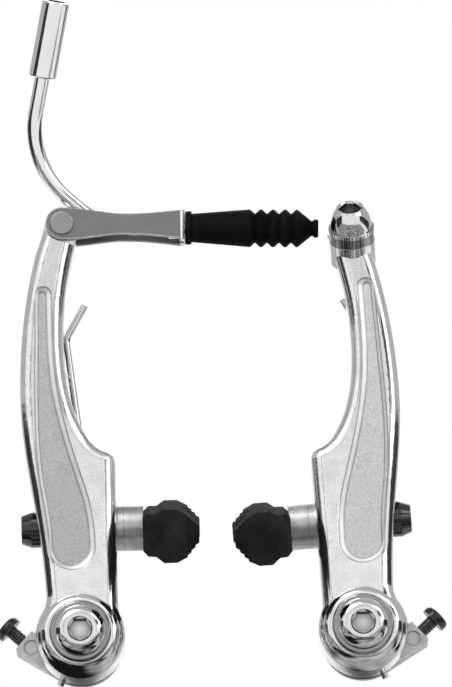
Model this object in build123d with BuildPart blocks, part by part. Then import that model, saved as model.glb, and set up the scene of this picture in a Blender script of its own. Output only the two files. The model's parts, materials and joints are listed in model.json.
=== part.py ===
from build123d import *
import os
from math import atan2, cos, degrees, radians, sin, sqrt

# Linear-pull bicycle brake: two forged arms that turn on bushes, each with a brake pad, a return
# spring and its adjuster. The left arm carries the link, the curved cable guide and the rubber boot,
# and the right arm carries the bolt that clamps the cable.
#
# Frame: X to the right as seen from the front, Y to the back, Z up, in millimetres. The origin is
# midway between the two pivot axes, in the plane of the pad studs. A piece is drawn for the left side
# with its pivot axis at zero and X pointing inwards, and the right side is its mirror image.

# Pair
pivot_spacing = 68.5
right_lean = 3.0

# Arm outline, inwards and up from the pivot axis
arm_length = 102.0
link_pivot_out = 2.4
hub_radius = 10.8
hub_blend = 7.0
seat_face = 9.3
seat_top = 44.9
seat_corner = 3.2
waist_out = 8.45
waist_height = 14.5
waist_lean = 0.8
bulge_out = 13.5
bulge_height = 59.0
shoulder_out = 9.5
shoulder_drop = 9.0
saddle_in = 3.2
saddle_height = 48.3
neck_out = 2.7
neck_drop = 28.5
throat_drop = 8.0

# Arm depth, from the plane of the studs
hub_front = 11.5
hub_boss_radius = 9.7
hub_boss_round = 2.2
hub_rear = 3.0
hub_step = 2.0
foot_front = 10.5
head_front = 7.0
web_rear = 6.0
web_rear_top = 45.0
head_rear = 3.0
front_round = 3.0
rear_edge = 0.7

# Shallow pocket in the arm's front, a channel that widens towards its round foot
pocket_depth = 0.85
pocket_steep = 1.1
pocket_slope = 1.8
pocket_top_drop = 17.8
pocket_top_out = 7.3
pocket_top_radius = 2.2
pocket_neck_height = 60.0
pocket_neck_out = 7.05
pocket_neck_half = 2.95
pocket_waist_height = 38.0
pocket_waist_out = 3.85
pocket_waist_half = 5.3
pocket_foot_height = 21.2
pocket_foot_out = 1.5
pocket_foot_radius = 5.75

# Pad stack along the stud
pad_height = 27.3
web_outer = 1.5
slot_width = 6.4
slot_height = 13.0
nut_bay_width = 12.0
nut_bay_height = 19.0
nut_bay_corner = 5.0
stud_radius = 3.0
stud_end = 9.0
stud_clearance = 0.15
washer_radius = 5.7
cup_rim = 1.7
cup_hole = 4.0
inner_dome_length = 4.8
outer_dome_length = 3.2
ball_radius = 12.0
ball_gap = 0.05
nut_radius = 4.4
nut_tip_radius = 3.5
nut_length = 10.5
nut_taper = 2.4
socket_depth = 4.5
hex_key = 5.0
socket_bevel = 0.4

# Pad
pad_thickness = 13.6
pad_length = 62.0
pad_half_height = 6.4
pad_back_half = 5.1
pad_back_edge = 1.2
pad_back_depth = 3.2
pad_flare = 1.8
pad_crown = 3.2
pad_terraces = 3
pad_terrace_depth = 0.95
pad_terrace_step = 0.5
pad_bevel = 1.3
pad_end_back = 6.2
pad_end_width = 4.2
pad_end_taper = 4.5
rim_radius = 300.0
pad_pitch = 11.5
groove_width = 2.4
groove_depth = 4.0
groove_step = 17.0
backing_length = 40.0
backing_height = 8.0
backing_thickness = 2.0
backing_depth = 2.4

# Pivot: bush, washer and bolt
bush_radius = 5.5
bush_bore = 4.1
running_gap = 0.06
bush_proud = 0.2
pivot_washer_radius = 7.5
pivot_washer_thickness = 1.6
bolt_radius = 2.92
bolt_neck_radius = 2.4
bolt_reach = 6.0
bolt_flange_radius = 6.2
bolt_flange_thickness = 0.9
bolt_head_height = 3.4
bolt_flat_radius = 3.6
bolt_socket_depth = 2.6

# Return spring and its plate
wire_radius = 0.85
coil_gap = 0.2
coil_play = 0.08
coil_turns = 2
coil_side_gap = 0.35
coil_corner = 45.0
coil_roundness = 0.9
leg_foot_angle = 243.0
leg_foot_reach = 11.9
leg_foot_bend = 1.8
leg_bend_out = 2.2
leg_bend_height = 75.6
leg_bend_depth = 6.4
leg_tip_angle = 30.0
leg_tip_length = 9.6
leg_tip_bend = 4.0
plate_radius = 10.0
plate_thickness = 2.2
press_gap = 0.02
ear_angle = 42.5
ear_width = 6.4
ear_start = -0.8
ear_end = 10.9
ear_gap = 0.4
ear_round = 0.8
cast_mark_radius = 1.9
cast_mark_depth = 0.4
cast_mark_place = 8.2
locating_peg_radius = 1.3
locating_peg_length = 4.0
locating_peg_place = 3.5
spring_peg_radius = 1.5
spring_peg_height = 66.0
spring_peg_gap = 0.3
spring_peg_root = 2.5
spring_peg_proud = 2.0

# Spring tension screw
screw_radius = 1.5
screw_gap = 0.06
screw_wall = 0.9
screw_reach = 0.4
screw_head_radius = 3.3
screw_head_height = 2.2
screw_head_lift = 4.0
cross_width = 0.9
cross_span = 3.8
cross_depth = 1.3

# Link
cable_depth = 2.0
link_droop = 1.75
link_end_radius = 3.95
link_length = 30.0
link_waist_half = 2.5
link_waist_place = 15.5
link_tail_half = 3.65
link_width = 10.0
link_sheet = 1.3
link_bend = 1.4
link_swing_down = 15.0
link_recess_gap = 0.5
tongue_gap = 0.2
tongue_radius = 4.25
tongue_outer_lean = 10.0
tongue_inner_lean = 12.0
rivet_radius = 2.0
rivet_head_radius = 2.85
rivet_head_height = 0.6
keyhole_gap = 0.1
keyhole_slot = 2.4

# Curved cable guide, in the link's own axes from its pivot
guide_radius = 1.85
guide_bore = 1.3
guide_bend = 22.5
guide_rise_place = -8.76
guide_rise_height = 15.6
guide_run_place = 9.85
guide_mouth_place = -1.6
guide_mouth_height = 55.5
guide_swivel = 18.0
guide_collar_radius = 2.7
guide_collar_length = 2.6
nozzle_reach = 7.0
liner_radius = 1.25
liner_bore = 0.9
liner_proud = 0.8
ferrule_radius = 3.4
ferrule_length = 19.0
ferrule_round = 0.5
housing_bore = 2.6
housing_depth = 13.0
ferrule_gap = 0.05

# Rubber boot
boot_collar_radius = 4.1
boot_collar_length = 1.54
boot_sleeve_radius = 3.5
boot_sleeve_end_radius = 4.65
boot_sleeve_length = 14.1
bellows_count = 4
bellows_pitch = 2.95
bellows_valley = 3.6
boot_nose_length = 3.8
boot_nose_radius = 1.6
boot_tip_radius = 2.25
boot_tip_length = 1.4
boot_wall = 1.1
boot_edge = 0.3
boot_grip_gap = 0.05
boot_gap = 0.1

# Cable anchor
anchor_out = 5.0
anchor_drop = 5.4
anchor_front = 4.7
anchor_tilt = 41.0
anchor_boss_radius = 5.6
anchor_boss_length = 6.0
anchor_top_drop = 3.5
anchor_washer_radius = 5.45
anchor_washer_thickness = 2.5
anchor_shank_radius = 2.5
anchor_shank_reach = 7.5
anchor_hole_spare = 0.6
anchor_flange_thickness = 1.0
anchor_dome_radius = 5.1
anchor_dome_height = 5.4
anchor_dome_flat = 3.3
anchor_socket_depth = 3.6
cable_groove_radius = 0.9
cable_groove_place = 3.9

os.makedirs("parts", exist_ok=True)

half_spacing = pivot_spacing / 2
hex_radius = hex_key / sqrt(3)

# Planes and places that several pieces share
front_slope = Vector(0, foot_front - head_front, arm_length).normalized()
front_plane = Plane((0, -foot_front, 0), x_dir=(1, 0, 0), z_dir=Vector(1, 0, 0).cross(front_slope))
stud_plane = Plane((0, 0, pad_height), x_dir=(0, 1, 0), z_dir=(1, 0, 0))
coil_radius = bush_radius + coil_gap + wire_radius
coil_front = hub_rear + coil_side_gap + wire_radius
leg_rise_angle = degrees(atan2(leg_bend_out + coil_radius, leg_bend_height))
coil_sweep = 360.0 + leg_rise_angle - leg_foot_angle + 360.0 * coil_turns
coil_pitch = 2 * wire_radius + coil_play
coil_rear = coil_front + coil_pitch * coil_sweep / 360
plate_front = coil_rear + wire_radius + coil_side_gap
plate_rear = plate_front + plate_thickness
ear_front = hub_rear + ear_gap
screw_depth = ear_front + screw_wall + screw_radius
screw_offset = coil_radius + wire_radius + coil_gap + screw_radius
screw_out = Vector(-cos(radians(ear_angle)), 0, sin(radians(ear_angle)))
screw_down = Vector(-sin(radians(ear_angle)), 0, -cos(radians(ear_angle)))
screw_plane = Plane(screw_down * screw_offset + Vector(0, screw_depth, 0), z_dir=screw_out)
bush_front = -hub_front - bush_proud
bolt_seat = bush_front - pivot_washer_thickness
tongue_half = link_width / 2 - link_sheet - tongue_gap
anchor_axis = Vector(0, -sin(radians(anchor_tilt)), cos(radians(anchor_tilt)))
anchor_seat = Vector(-anchor_out, -anchor_front, arm_length - anchor_drop)
anchor_plane = Plane(anchor_seat, x_dir=(1, 0, 0), z_dir=anchor_axis)


def across(distance):
    """Plane square to the pivot axis, that far to the back of the studs."""
    return Plane.XZ.offset(-distance)


def place(part, side, lean=0.0):
    """Stand a piece that was drawn for the left pivot on either side, leaning inwards by lean."""
    if side == "left":
        return part.moved(Location((-half_spacing, 0, 0), (0, lean, 0)))
    return part.mirror(Plane.YZ).moved(Location((half_spacing, 0, 0), (0, -lean, 0)))


def keep(part, name):
    """Name a finished piece and write it."""
    part.label = name
    export_step(part, f"parts/{name}.step")


def arm_outline(head):
    """Closed front outline of an arm, from inside the hub up one edge, round its head and down."""
    foot = hub_radius / 3
    waist = (-waist_out, waist_height)
    waist_foot = (waist_lean - waist_out, foot)
    bulge = (-bulge_out, bulge_height)
    shoulder = (-shoulder_out, arm_length - shoulder_drop)
    throat = (0, arm_length - throat_drop)
    neck = (-neck_out, arm_length - neck_drop)
    saddle = (saddle_in, saddle_height)
    seat = (seat_face, seat_top)
    waist_up = (Vector(waist) - Vector(waist_foot)).normalized()
    shoulder_up = Vector(0.243, 0.97)
    throat_down = Vector(-0.224, -0.975)
    saddle_down = Vector(0.58, -0.816)
    with BuildLine() as outline:
        Line(waist_foot, waist)
        Spline(waist, bulge, shoulder, tangents=(waist_up, (0, 1), shoulder_up))
        if head == "tongue":
            pivot = Vector(-link_pivot_out, arm_length)
            outer = pivot + Vector(-tongue_radius, 0).rotate(Axis.Z, -tongue_outer_lean)
            inner = pivot + Vector(tongue_radius, 0).rotate(Axis.Z, -tongue_inner_lean)
            outer_up = Vector(0, 1).rotate(Axis.Z, -tongue_outer_lean)
            inner_down = Vector(0, -1).rotate(Axis.Z, -tongue_inner_lean)
            Spline(shoulder, outer, tangents=(shoulder_up, outer_up))
            ThreePointArc(outer, pivot + Vector(0, tongue_radius), inner)
            Spline(inner, throat, tangents=(inner_down, throat_down))
        else:
            top = arm_length - anchor_top_drop
            shoulder_lean = (shoulder_drop - anchor_top_drop) * shoulder_up.X / shoulder_up.Y
            throat_lean = (throat_drop - anchor_top_drop) * throat_down.X / throat_down.Y
            Polyline(shoulder, (shoulder_lean - shoulder_out, top), (throat_lean, top), throat)
        Spline(throat, neck, saddle, tangents=(throat_down, (0, -1), saddle_down))
        TangentArc(saddle, seat, tangent=saddle_down)
        Polyline(seat, (seat_face, foot), waist_foot)
    return outline.line


def pocket_outline(inset):
    """Outline of the pocket in the arm's front: its rim at inset 0, its floor at inset 1."""
    narrower = inset * (pocket_steep + pocket_slope) / 2
    shift = inset * (pocket_steep - pocket_slope) / 2
    levels = (
        (arm_length - pocket_top_drop, pocket_top_out, pocket_top_radius),
        (pocket_neck_height, pocket_neck_out, pocket_neck_half),
        (pocket_waist_height, pocket_waist_out, pocket_waist_half),
        (pocket_foot_height, pocket_foot_out, pocket_foot_radius),
    )
    outer = [Vector(shift - out - half + narrower, height) for height, out, half in levels]
    inner = [Vector(shift - out + half - narrower, height) for height, out, half in levels]
    with BuildLine() as outline:
        Spline(outer, tangents=((0, -1), (0, -1)))
        TangentArc(outer[-1], inner[-1], tangent=(0, -1))
        Spline(inner, tangents=((0, -1), (0, -1)))
        TangentArc(outer[0], inner[0], tangent=(0, 1))
    return outline.line


def side_profile():
    """Side outline of an arm: a sloping front, a hub with room behind it and a tapering back."""
    low = -2 * hub_radius
    high = 1.5 * arm_length
    slope = (foot_front - head_front) / arm_length
    taper = (web_rear - head_rear) / (arm_length - web_rear_top)
    step = hub_radius + hub_step
    with BuildLine() as profile:
        Polyline(
            (-foot_front + slope * low, low),
            (-foot_front + slope * high, high),
            (web_rear - taper * (high - web_rear_top), high),
            (web_rear, web_rear_top),
            (web_rear, step),
            (hub_rear, step),
            (hub_rear, low),
            close=True,
        )
    return profile.line


def spring_line(height):
    """Where the spring's long leg crosses a height: inwards and to the back of the pivot axis."""
    start_height = coil_radius * sin(radians(leg_rise_angle))
    start_in = coil_radius * cos(radians(leg_rise_angle))
    share = (height - start_height) / (leg_bend_height - start_height)
    across_leg = start_in + share * (-leg_bend_out - start_in)
    depth = coil_rear + share * (leg_bend_depth - coil_rear)
    return across_leg, depth


def spring_peg_centre(lean):
    """Place of the peg on the outer side of the spring's leg, in the axes of an arm that leans."""
    wire_in, depth = spring_line(spring_peg_height)
    turn = radians(lean)
    wire_local = wire_in * cos(turn) - spring_peg_height * sin(turn)
    clear = wire_radius + spring_peg_gap + spring_peg_radius
    return wire_local - clear, depth


def make_arm(head, lean):
    peg_in, peg_depth = spring_peg_centre(lean)
    with BuildPart() as arm:
        with BuildSketch(Plane.XZ) as front:
            Circle(hub_radius)
            with BuildLine():
                add(arm_outline(head))
            make_face()
            hub_joins = front.vertices().sort_by(lambda corner: abs(Vector(corner).length - hub_radius))[:2]
            fillet(hub_joins, hub_blend)
            fillet(front.vertices().sort_by_distance((seat_face, seat_top))[0], seat_corner)
        extrude(amount=2 * foot_front, both=True)
        with BuildSketch(Plane.YZ):
            with BuildLine():
                add(side_profile())
            make_face()
        extrude(amount=2 * arm_length, both=True, mode=Mode.INTERSECT)
        front_face = arm.faces().sort_by(Axis.Y)[0]
        fillet(front_face.edges(), front_round)
        back_faces = arm.faces().filter_by(lambda face: face.normal_at().Y > 0.9)
        chamfer(back_faces.edges().filter_by(Axis.X, reverse=True), rear_edge)
        with BuildSketch(front_plane):
            with BuildLine():
                add(pocket_outline(0))
            make_face()
        with BuildSketch(front_plane.offset(-pocket_depth)):
            with BuildLine():
                add(pocket_outline(1))
            make_face()
        loft(ruled=True, mode=Mode.SUBTRACT)
        with BuildSketch(Plane.XY):
            with BuildLine():
                boss_edge = Polyline(
                    (0, 0),
                    (hub_boss_radius, 0),
                    (hub_boss_radius, hub_boss_round - hub_front),
                )
                boss_arc = TangentArc(
                    boss_edge @ 1,
                    (hub_boss_radius - hub_boss_round, -hub_front),
                    tangent=(0, -1),
                )
                Polyline(boss_arc @ 1, (0, -hub_front), (0, 0))
            make_face()
        revolve(axis=Axis.Y)
        with BuildSketch(Plane.XZ):
            Circle(bush_radius + running_gap)
        extrude(amount=2 * hub_front, both=True, mode=Mode.SUBTRACT)
        with BuildSketch(stud_plane):
            SlotOverall(slot_height, slot_width, rotation=90)
        extrude(amount=2 * seat_face, both=True, mode=Mode.SUBTRACT)
        with BuildSketch(stud_plane.offset(web_outer)) as bay:
            Rectangle(4 * web_rear, nut_bay_height, align=(Align.MIN, Align.CENTER))
            Rectangle(nut_bay_width / 2, nut_bay_height, align=(Align.MAX, Align.CENTER))
            fillet(bay.vertices().group_by(Axis.Y)[0], nut_bay_corner)
        extrude(amount=-3 * bulge_out, mode=Mode.SUBTRACT)
        with BuildSketch(across(peg_depth + spring_peg_proud)):
            with Locations((peg_in, spring_peg_height)):
                Circle(spring_peg_radius + press_gap)
        extrude(amount=peg_depth + spring_peg_proud - arm_rear(spring_peg_height) + spring_peg_root,
                mode=Mode.SUBTRACT)
    if head == "tongue":
        return cut_tongue(arm.part)
    return add_anchor_seat(arm.part)


def arm_rear(height):
    """Depth of the arm's back at a height above the nut bay."""
    taper = (web_rear - head_rear) / (arm_length - web_rear_top)
    return web_rear - taper * (height - web_rear_top)


def cut_tongue(blank):
    """Thin the left arm's head to a tongue between the link's sides, with room for the link to swing."""
    recess = link_end_radius + link_recess_gap
    with BuildPart() as arm:
        add(blank)
        for face, reach in ((-cable_depth - tongue_half, 1), (-cable_depth + tongue_half, -1)):
            with BuildSketch(across(face)):
                with Locations((-link_pivot_out, arm_length)):
                    Circle(recess)
                with Locations(Location((-link_pivot_out, arm_length), -link_droop - link_swing_down)):
                    Rectangle(link_length, 2 * recess, align=(Align.MIN, Align.CENTER))
            extrude(amount=reach * link_width, mode=Mode.SUBTRACT)
        with BuildSketch(Plane.XZ):
            with Locations((-link_pivot_out, arm_length)):
                Circle(rivet_radius + running_gap)
        extrude(amount=link_width, both=True, mode=Mode.SUBTRACT)
    return arm.part


def add_anchor_seat(blank):
    """Give the right arm's head the round boss that the cable is clamped on."""
    with BuildPart() as arm:
        add(blank)
        with BuildSketch(anchor_plane):
            Circle(anchor_boss_radius)
        extrude(amount=-anchor_boss_length)
        with BuildSketch(anchor_plane):
            Rectangle(arm_length, arm_length)
        extrude(amount=arm_length, mode=Mode.SUBTRACT)
        with BuildSketch(anchor_plane):
            Circle(anchor_shank_radius + press_gap)
        extrude(amount=-anchor_shank_reach - anchor_hole_spare, mode=Mode.SUBTRACT)
        groove = anchor_plane.from_local_coords(Vector(0, cable_groove_place, 0))
        with BuildSketch(Plane(groove, z_dir=(1, 0, 0))):
            Circle(cable_groove_radius)
        extrude(amount=4 * anchor_boss_radius, both=True, mode=Mode.SUBTRACT)
    return arm.part


def make_bush():
    with BuildPart() as bush:
        with BuildSketch(across(plate_rear)):
            Circle(bush_radius)
            Circle(bush_bore, mode=Mode.SUBTRACT)
        extrude(amount=plate_rear - bush_front)
    return bush.part


def make_pivot_washer():
    with BuildPart() as washer:
        with BuildSketch(across(bush_front)):
            Circle(pivot_washer_radius)
            Circle(bolt_neck_radius + stud_clearance, mode=Mode.SUBTRACT)
        extrude(amount=pivot_washer_thickness)
        fillet(washer.edges().group_by(Axis.Y)[0].sort_by(SortBy.RADIUS)[-1], pivot_washer_thickness / 3)
    return washer.part


def make_pivot_bolt():
    """Bolt with a domed, flanged head; its neck passes the washer and its shank the bush."""
    top = bolt_seat - bolt_head_height
    rim = (bolt_flange_radius, bolt_seat - bolt_flange_thickness)
    with BuildPart() as bolt:
        with BuildSketch(Plane.XY):
            with BuildLine():
                TangentArc((bolt_flat_radius, top), rim, tangent=(1, 0))
                Polyline(
                    rim,
                    (bolt_flange_radius, bolt_seat),
                    (bolt_neck_radius, bolt_seat),
                    (bolt_neck_radius, bush_front),
                    (bolt_radius, bush_front),
                    (bolt_radius, bolt_reach),
                    (0, bolt_reach),
                    (0, top),
                    (bolt_flat_radius, top),
                )
            make_face()
        revolve(axis=Axis.Y)
        with BuildSketch(across(top)):
            RegularPolygon(hex_radius, 6)
        extrude(amount=-bolt_socket_depth, mode=Mode.SUBTRACT)
        with BuildSketch(across(top)):
            Circle(hex_radius + socket_bevel / 2)
        extrude(amount=-socket_bevel, taper=45, mode=Mode.SUBTRACT)
    return bolt.part


def spring_path():
    """Centre line of the spring: a short foot, the coil round the bush and the long bent leg."""

    def on_coil(angle, radius, depth):
        return Vector(radius * cos(radians(angle)), depth, radius * sin(radians(angle)))

    first = leg_foot_angle + coil_corner / 2
    last = leg_foot_angle + coil_sweep - coil_corner / 2
    corners = round((last - first) / coil_corner)
    step = (last - first) / corners
    corner_radius = coil_radius / cos(radians(step / 2))
    points = [on_coil(leg_foot_angle, reach, coil_front) for reach in (leg_foot_reach, coil_radius)]
    radii = [leg_foot_bend]
    for corner in range(corners + 1):
        angle = first + corner * step
        depth = coil_front + coil_pitch * (angle - leg_foot_angle) / 360
        points.append(on_coil(angle, corner_radius, depth))
        radii.append(coil_roundness * coil_radius)
    bend = Vector(-leg_bend_out, leg_bend_depth, leg_bend_height)
    tip = radians(leg_tip_angle)
    points.append(bend)
    radii.append(leg_tip_bend)
    points.append(bend + Vector(sin(tip), 0, cos(tip)) * leg_tip_length)
    with BuildLine() as path:
        FilletPolyline(points, radius=radii)
    return path.line


def make_spring():
    path = spring_path()
    with BuildPart() as spring:
        with BuildSketch(Plane(path @ 0, z_dir=path % 0)):
            Circle(wire_radius)
        sweep(path=path)
    return spring.part


def ear_corner(along, offset):
    """Point of the plate's ear: along the screw's axis, and that far from the pivot axis."""
    corner = screw_out * along + screw_down * offset
    return (corner.X, corner.Z)


def plate_outline():
    """Outline of the spring plate: a disc that runs out into an ear with round corners."""
    corners = [ear_corner(ear_end, screw_offset + way * ear_width / 2) for way in (-1, 1)]
    with BuildSketch() as outline:
        Circle(plate_radius)
        with BuildLine():
            Polyline((0, 0), *corners, close=True)
        make_face()
        make_hull()
        for corner in corners:
            fillet(outline.vertices().sort_by_distance(corner)[0], ear_round)
    return outline.sketch


def make_spring_plate():
    mark = ear_corner(cast_mark_place, screw_offset)
    peg = ear_corner(locating_peg_place, screw_offset)
    block = Location(ear_corner(ear_start, screw_offset), -ear_angle)
    with BuildPart() as plate:
        with BuildSketch(across(plate_rear)):
            add(plate_outline())
        extrude(amount=plate_thickness)
        with BuildSketch(across(plate_front)):
            add(plate_outline())
            with Locations(block):
                Rectangle(2 * ear_end, ear_width, align=(Align.MAX, Align.CENTER), mode=Mode.INTERSECT)
        extrude(amount=plate_front - ear_front)
        with BuildSketch(across(plate_front)):
            Circle(coil_radius + wire_radius + coil_gap)
        extrude(amount=plate_front - ear_front, mode=Mode.SUBTRACT)
        with BuildSketch(across(plate_rear)):
            Circle(bush_radius + press_gap)
        extrude(amount=plate_thickness, mode=Mode.SUBTRACT)
        with BuildSketch(screw_plane):
            Circle(screw_radius + screw_gap)
        extrude(amount=2 * ear_end, both=True, mode=Mode.SUBTRACT)
        with BuildSketch(across(ear_front)):
            with Locations(mark):
                Circle(cast_mark_radius)
        extrude(amount=-cast_mark_depth, mode=Mode.SUBTRACT)
        with BuildSketch(across(plate_rear)):
            with Locations(peg):
                Circle(locating_peg_radius)
        extrude(amount=-locating_peg_length)
    return plate.part


def make_tension_screw():
    seat = ear_end + screw_head_lift
    with BuildPart() as screw:
        with BuildSketch(screw_plane.offset(-screw_reach)):
            Circle(screw_radius)
        extrude(amount=seat + screw_reach)
        with BuildSketch(screw_plane.offset(seat)):
            Circle(screw_head_radius)
        extrude(amount=screw_head_height)
        rim = screw.edges().filter_by(GeomType.CIRCLE).sort_by(Axis(screw_plane.origin, screw_out))[-1]
        fillet(rim, screw_head_height / 2)
        with BuildSketch(screw_plane.offset(seat + screw_head_height)):
            Rectangle(cross_span, cross_width)
            Rectangle(cross_width, cross_span)
        extrude(amount=-cross_depth, mode=Mode.SUBTRACT)
    return screw.part


def make_spring_peg(lean):
    peg_in, depth = spring_peg_centre(lean)
    root = arm_rear(spring_peg_height) - spring_peg_root
    with BuildPart() as peg:
        with BuildSketch(across(depth + spring_peg_proud)):
            with Locations((peg_in, spring_peg_height)):
                Circle(spring_peg_radius)
        extrude(amount=depth + spring_peg_proud - root)
        chamfer(peg.edges().group_by(Axis.Y)[-1], spring_peg_radius / 5)
    return peg.part


pad_back = seat_face + cup_rim + inner_dome_length
pad_rise = Vector(0, -sin(radians(pad_pitch)), cos(radians(pad_pitch)))
pad_plane = Plane((0, 0, pad_height), x_dir=(1, 0, 0), z_dir=pad_rise)


def pad_section():
    """Upper edge of the pad's cross-section, from its back to the terraced face on the rim."""
    flare_start = pad_back + pad_back_depth
    crown_start = flare_start + pad_flare
    crown_end = crown_start + pad_crown
    terrace = pad_back + pad_thickness - pad_terraces * pad_terrace_depth
    half = pad_half_height - pad_bevel
    edge = [
        (pad_back, pad_back_half - pad_back_edge),
        (pad_back + pad_back_edge, pad_back_half),
        (flare_start, pad_back_half),
        (crown_start, pad_half_height),
        (crown_end, pad_half_height),
        (terrace, half),
    ]
    for step in range(pad_terraces):
        half -= pad_terrace_step
        edge.append((terrace, half))
        terrace += pad_terrace_depth
        half -= pad_terrace_step
        edge.append((terrace, half))
    return edge


def make_pad():
    """Rubber block, curved to the rim, tapered at its ends and moulded round the stud's backing plate."""
    half_turn = pad_length / 2 / rim_radius
    middle = radians(pad_pitch)
    centre = Vector(0, rim_radius * sin(middle), pad_height - rim_radius * cos(middle))
    start = middle - half_turn
    rise = Vector(0, -sin(start), cos(start))
    section = Plane(centre + rise * rim_radius, x_dir=(1, 0, 0), z_dir=Vector(1, 0, 0).cross(rise))
    face = pad_back + pad_thickness
    edge = pad_section()
    end = pad_length / 2
    shoulder = end - pad_end_taper
    end_back = pad_back + pad_end_back
    with BuildPart() as pad:
        with BuildSketch(section):
            with BuildLine():
                Polyline(edge + [(u, -w) for u, w in reversed(edge)], close=True)
            make_face()
        revolve(axis=Axis(centre, (1, 0, 0)), revolution_arc=degrees(2 * half_turn))
        with BuildSketch(pad_plane):
            with BuildLine():
                plan = [
                    (pad_back, shoulder),
                    (end_back, end),
                    (end_back + pad_end_width, end),
                    (face, shoulder),
                ]
                Polyline(plan + [(u, -w) for u, w in reversed(plan)], close=True)
            make_face()
        extrude(amount=2 * pad_half_height, both=True, mode=Mode.INTERSECT)
        for place_along in (-groove_step, 0, groove_step):
            turn = middle + place_along / rim_radius
            out = Vector(0, -sin(turn), cos(turn))
            with BuildSketch(Plane(centre + out * rim_radius, x_dir=(1, 0, 0), z_dir=out)):
                with Locations((face, 0)):
                    Rectangle(2 * groove_depth, groove_width)
            extrude(amount=2 * pad_half_height, both=True, mode=Mode.SUBTRACT)
        add(make_stud(), mode=Mode.SUBTRACT)
    return pad.part


def make_stud():
    """Threaded stud with the backing plate that the rubber is moulded on."""
    tilt = Plane((0, 0, pad_height), x_dir=(1, 0, 0), z_dir=(0, -1, 0)).rotated((pad_pitch, 0, 0))
    plate_place = pad_back + backing_depth
    with BuildPart() as stud:
        with BuildSketch(stud_plane.offset(-stud_end)):
            Circle(stud_radius)
        extrude(amount=stud_end + plate_place + backing_thickness)
        with BuildSketch(tilt):
            with Locations((plate_place, 0)):
                Rectangle(backing_thickness, backing_height, align=(Align.MIN, Align.CENTER))
        extrude(amount=backing_length / 2, both=True)
    return stud.part


def ball_place(radius, rim, gap=0.0):
    """Distance along the stud from a washer's seat to the ball face, at a radius from the stud."""
    centre = rim + sqrt(ball_radius**2 - washer_radius**2)
    return centre - sqrt((ball_radius - gap) ** 2 - radius**2)


def turned(points, seat, outwards):
    """Turn a profile round the stud: points give the way from the seat and the radius."""
    corners = [(seat + outwards * along, pad_height + radius) for along, radius in points]
    with BuildPart() as piece:
        with BuildSketch(Plane.XZ):
            with BuildLine():
                Polyline(corners[:-2])
                ThreePointArc(*corners[-3:])
                Line(corners[-1], corners[0])
            make_face()
        revolve(axis=Axis((0, 0, pad_height), (1, 0, 0)))
    return piece.part


def make_cup_washer(seat, outwards):
    middle = (cup_hole + washer_radius) / 2
    points = [(0, cup_hole), (0, washer_radius)]
    points += [(ball_place(radius, cup_rim), radius) for radius in (washer_radius, middle, cup_hole)]
    return turned(points, seat, outwards)


def make_dome_washer(seat, outwards, length):
    bore = stud_radius + stud_clearance
    middle = (bore + washer_radius) / 2
    points = [(cup_rim + length, bore), (cup_rim + length, washer_radius)]
    points += [(ball_place(radius, cup_rim, ball_gap), radius) for radius in (washer_radius, middle, bore)]
    return turned(points, seat, outwards)


def make_pad_nut():
    seat = web_outer - cup_rim - outer_dome_length
    end = seat - nut_length
    with BuildPart() as nut:
        with BuildSketch(Plane.XZ):
            with BuildLine():
                Polyline(
                    (seat, pad_height),
                    (seat, pad_height + nut_radius),
                    (end + nut_taper, pad_height + nut_radius),
                    (end, pad_height + nut_tip_radius),
                    (end, pad_height),
                    close=True,
                )
            make_face()
        revolve(axis=Axis((0, 0, pad_height), (1, 0, 0)))
        with BuildSketch(stud_plane.offset(seat)):
            Circle(stud_radius + press_gap)
        extrude(amount=socket_depth - nut_length, mode=Mode.SUBTRACT)
        with BuildSketch(stud_plane.offset(end)):
            RegularPolygon(hex_radius, 6)
        extrude(amount=socket_depth, mode=Mode.SUBTRACT)
    return nut.part


# The link hangs from the left arm's tongue, and the guide turns about the link's own axis
droop = radians(link_droop)
link_along = Vector(cos(droop), 0, -sin(droop))
link_up = Vector(sin(droop), 0, cos(droop))
link_pivot = Vector(-half_spacing - link_pivot_out, -cable_depth, arm_length)
link_plane = Plane(link_pivot, x_dir=link_along, z_dir=(0, -1, 0))
guide_up = link_up * cos(radians(guide_swivel)) - Vector(0, sin(radians(guide_swivel)), 0)
guide_plane = Plane(link_pivot, x_dir=link_along, z_dir=link_along.cross(guide_up))
axis_plane = Plane(link_pivot, x_dir=(0, -1, 0), z_dir=link_along)


def make_link():
    """Folded sheet: two sides on the rivet, and an end wall with the keyhole for the guide."""
    wall = link_length - link_sheet
    waist = (link_waist_place, link_waist_half)
    tail = (link_length, link_tail_half)
    round_top = (0, link_end_radius)
    with BuildPart() as link:
        with BuildSketch(link_plane):
            with BuildLine():
                edge = Spline(round_top, waist, tail, tangents=((1, 0), (1, 0), (1, 0.12)))
                mirror(edge, about=Plane.XZ)
                Line(tail, (link_length, -link_tail_half))
                ThreePointArc(round_top, (-link_end_radius, 0), (0, -link_end_radius))
            make_face()
        extrude(amount=link_width / 2, both=True)
        end_face = link.faces().sort_by(Axis(link_pivot, link_along))[-1]
        fillet(end_face.edges().filter_by(Axis(link_pivot, link_up)), link_bend)
        with BuildSketch(axis_plane.offset(wall)):
            Rectangle(link_width - 2 * link_sheet, 4 * link_end_radius)
        extrude(amount=-2 * link_length, mode=Mode.SUBTRACT)
        with BuildSketch(link_plane):
            Circle(rivet_radius + press_gap)
        extrude(amount=link_width, both=True, mode=Mode.SUBTRACT)
        with BuildSketch(axis_plane.offset(wall)):
            Circle(guide_radius + keyhole_gap)
            Rectangle(keyhole_slot, link_tail_half * 2, align=(Align.CENTER, Align.MIN))
        extrude(amount=link_sheet, mode=Mode.SUBTRACT)
    return link.part


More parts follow.
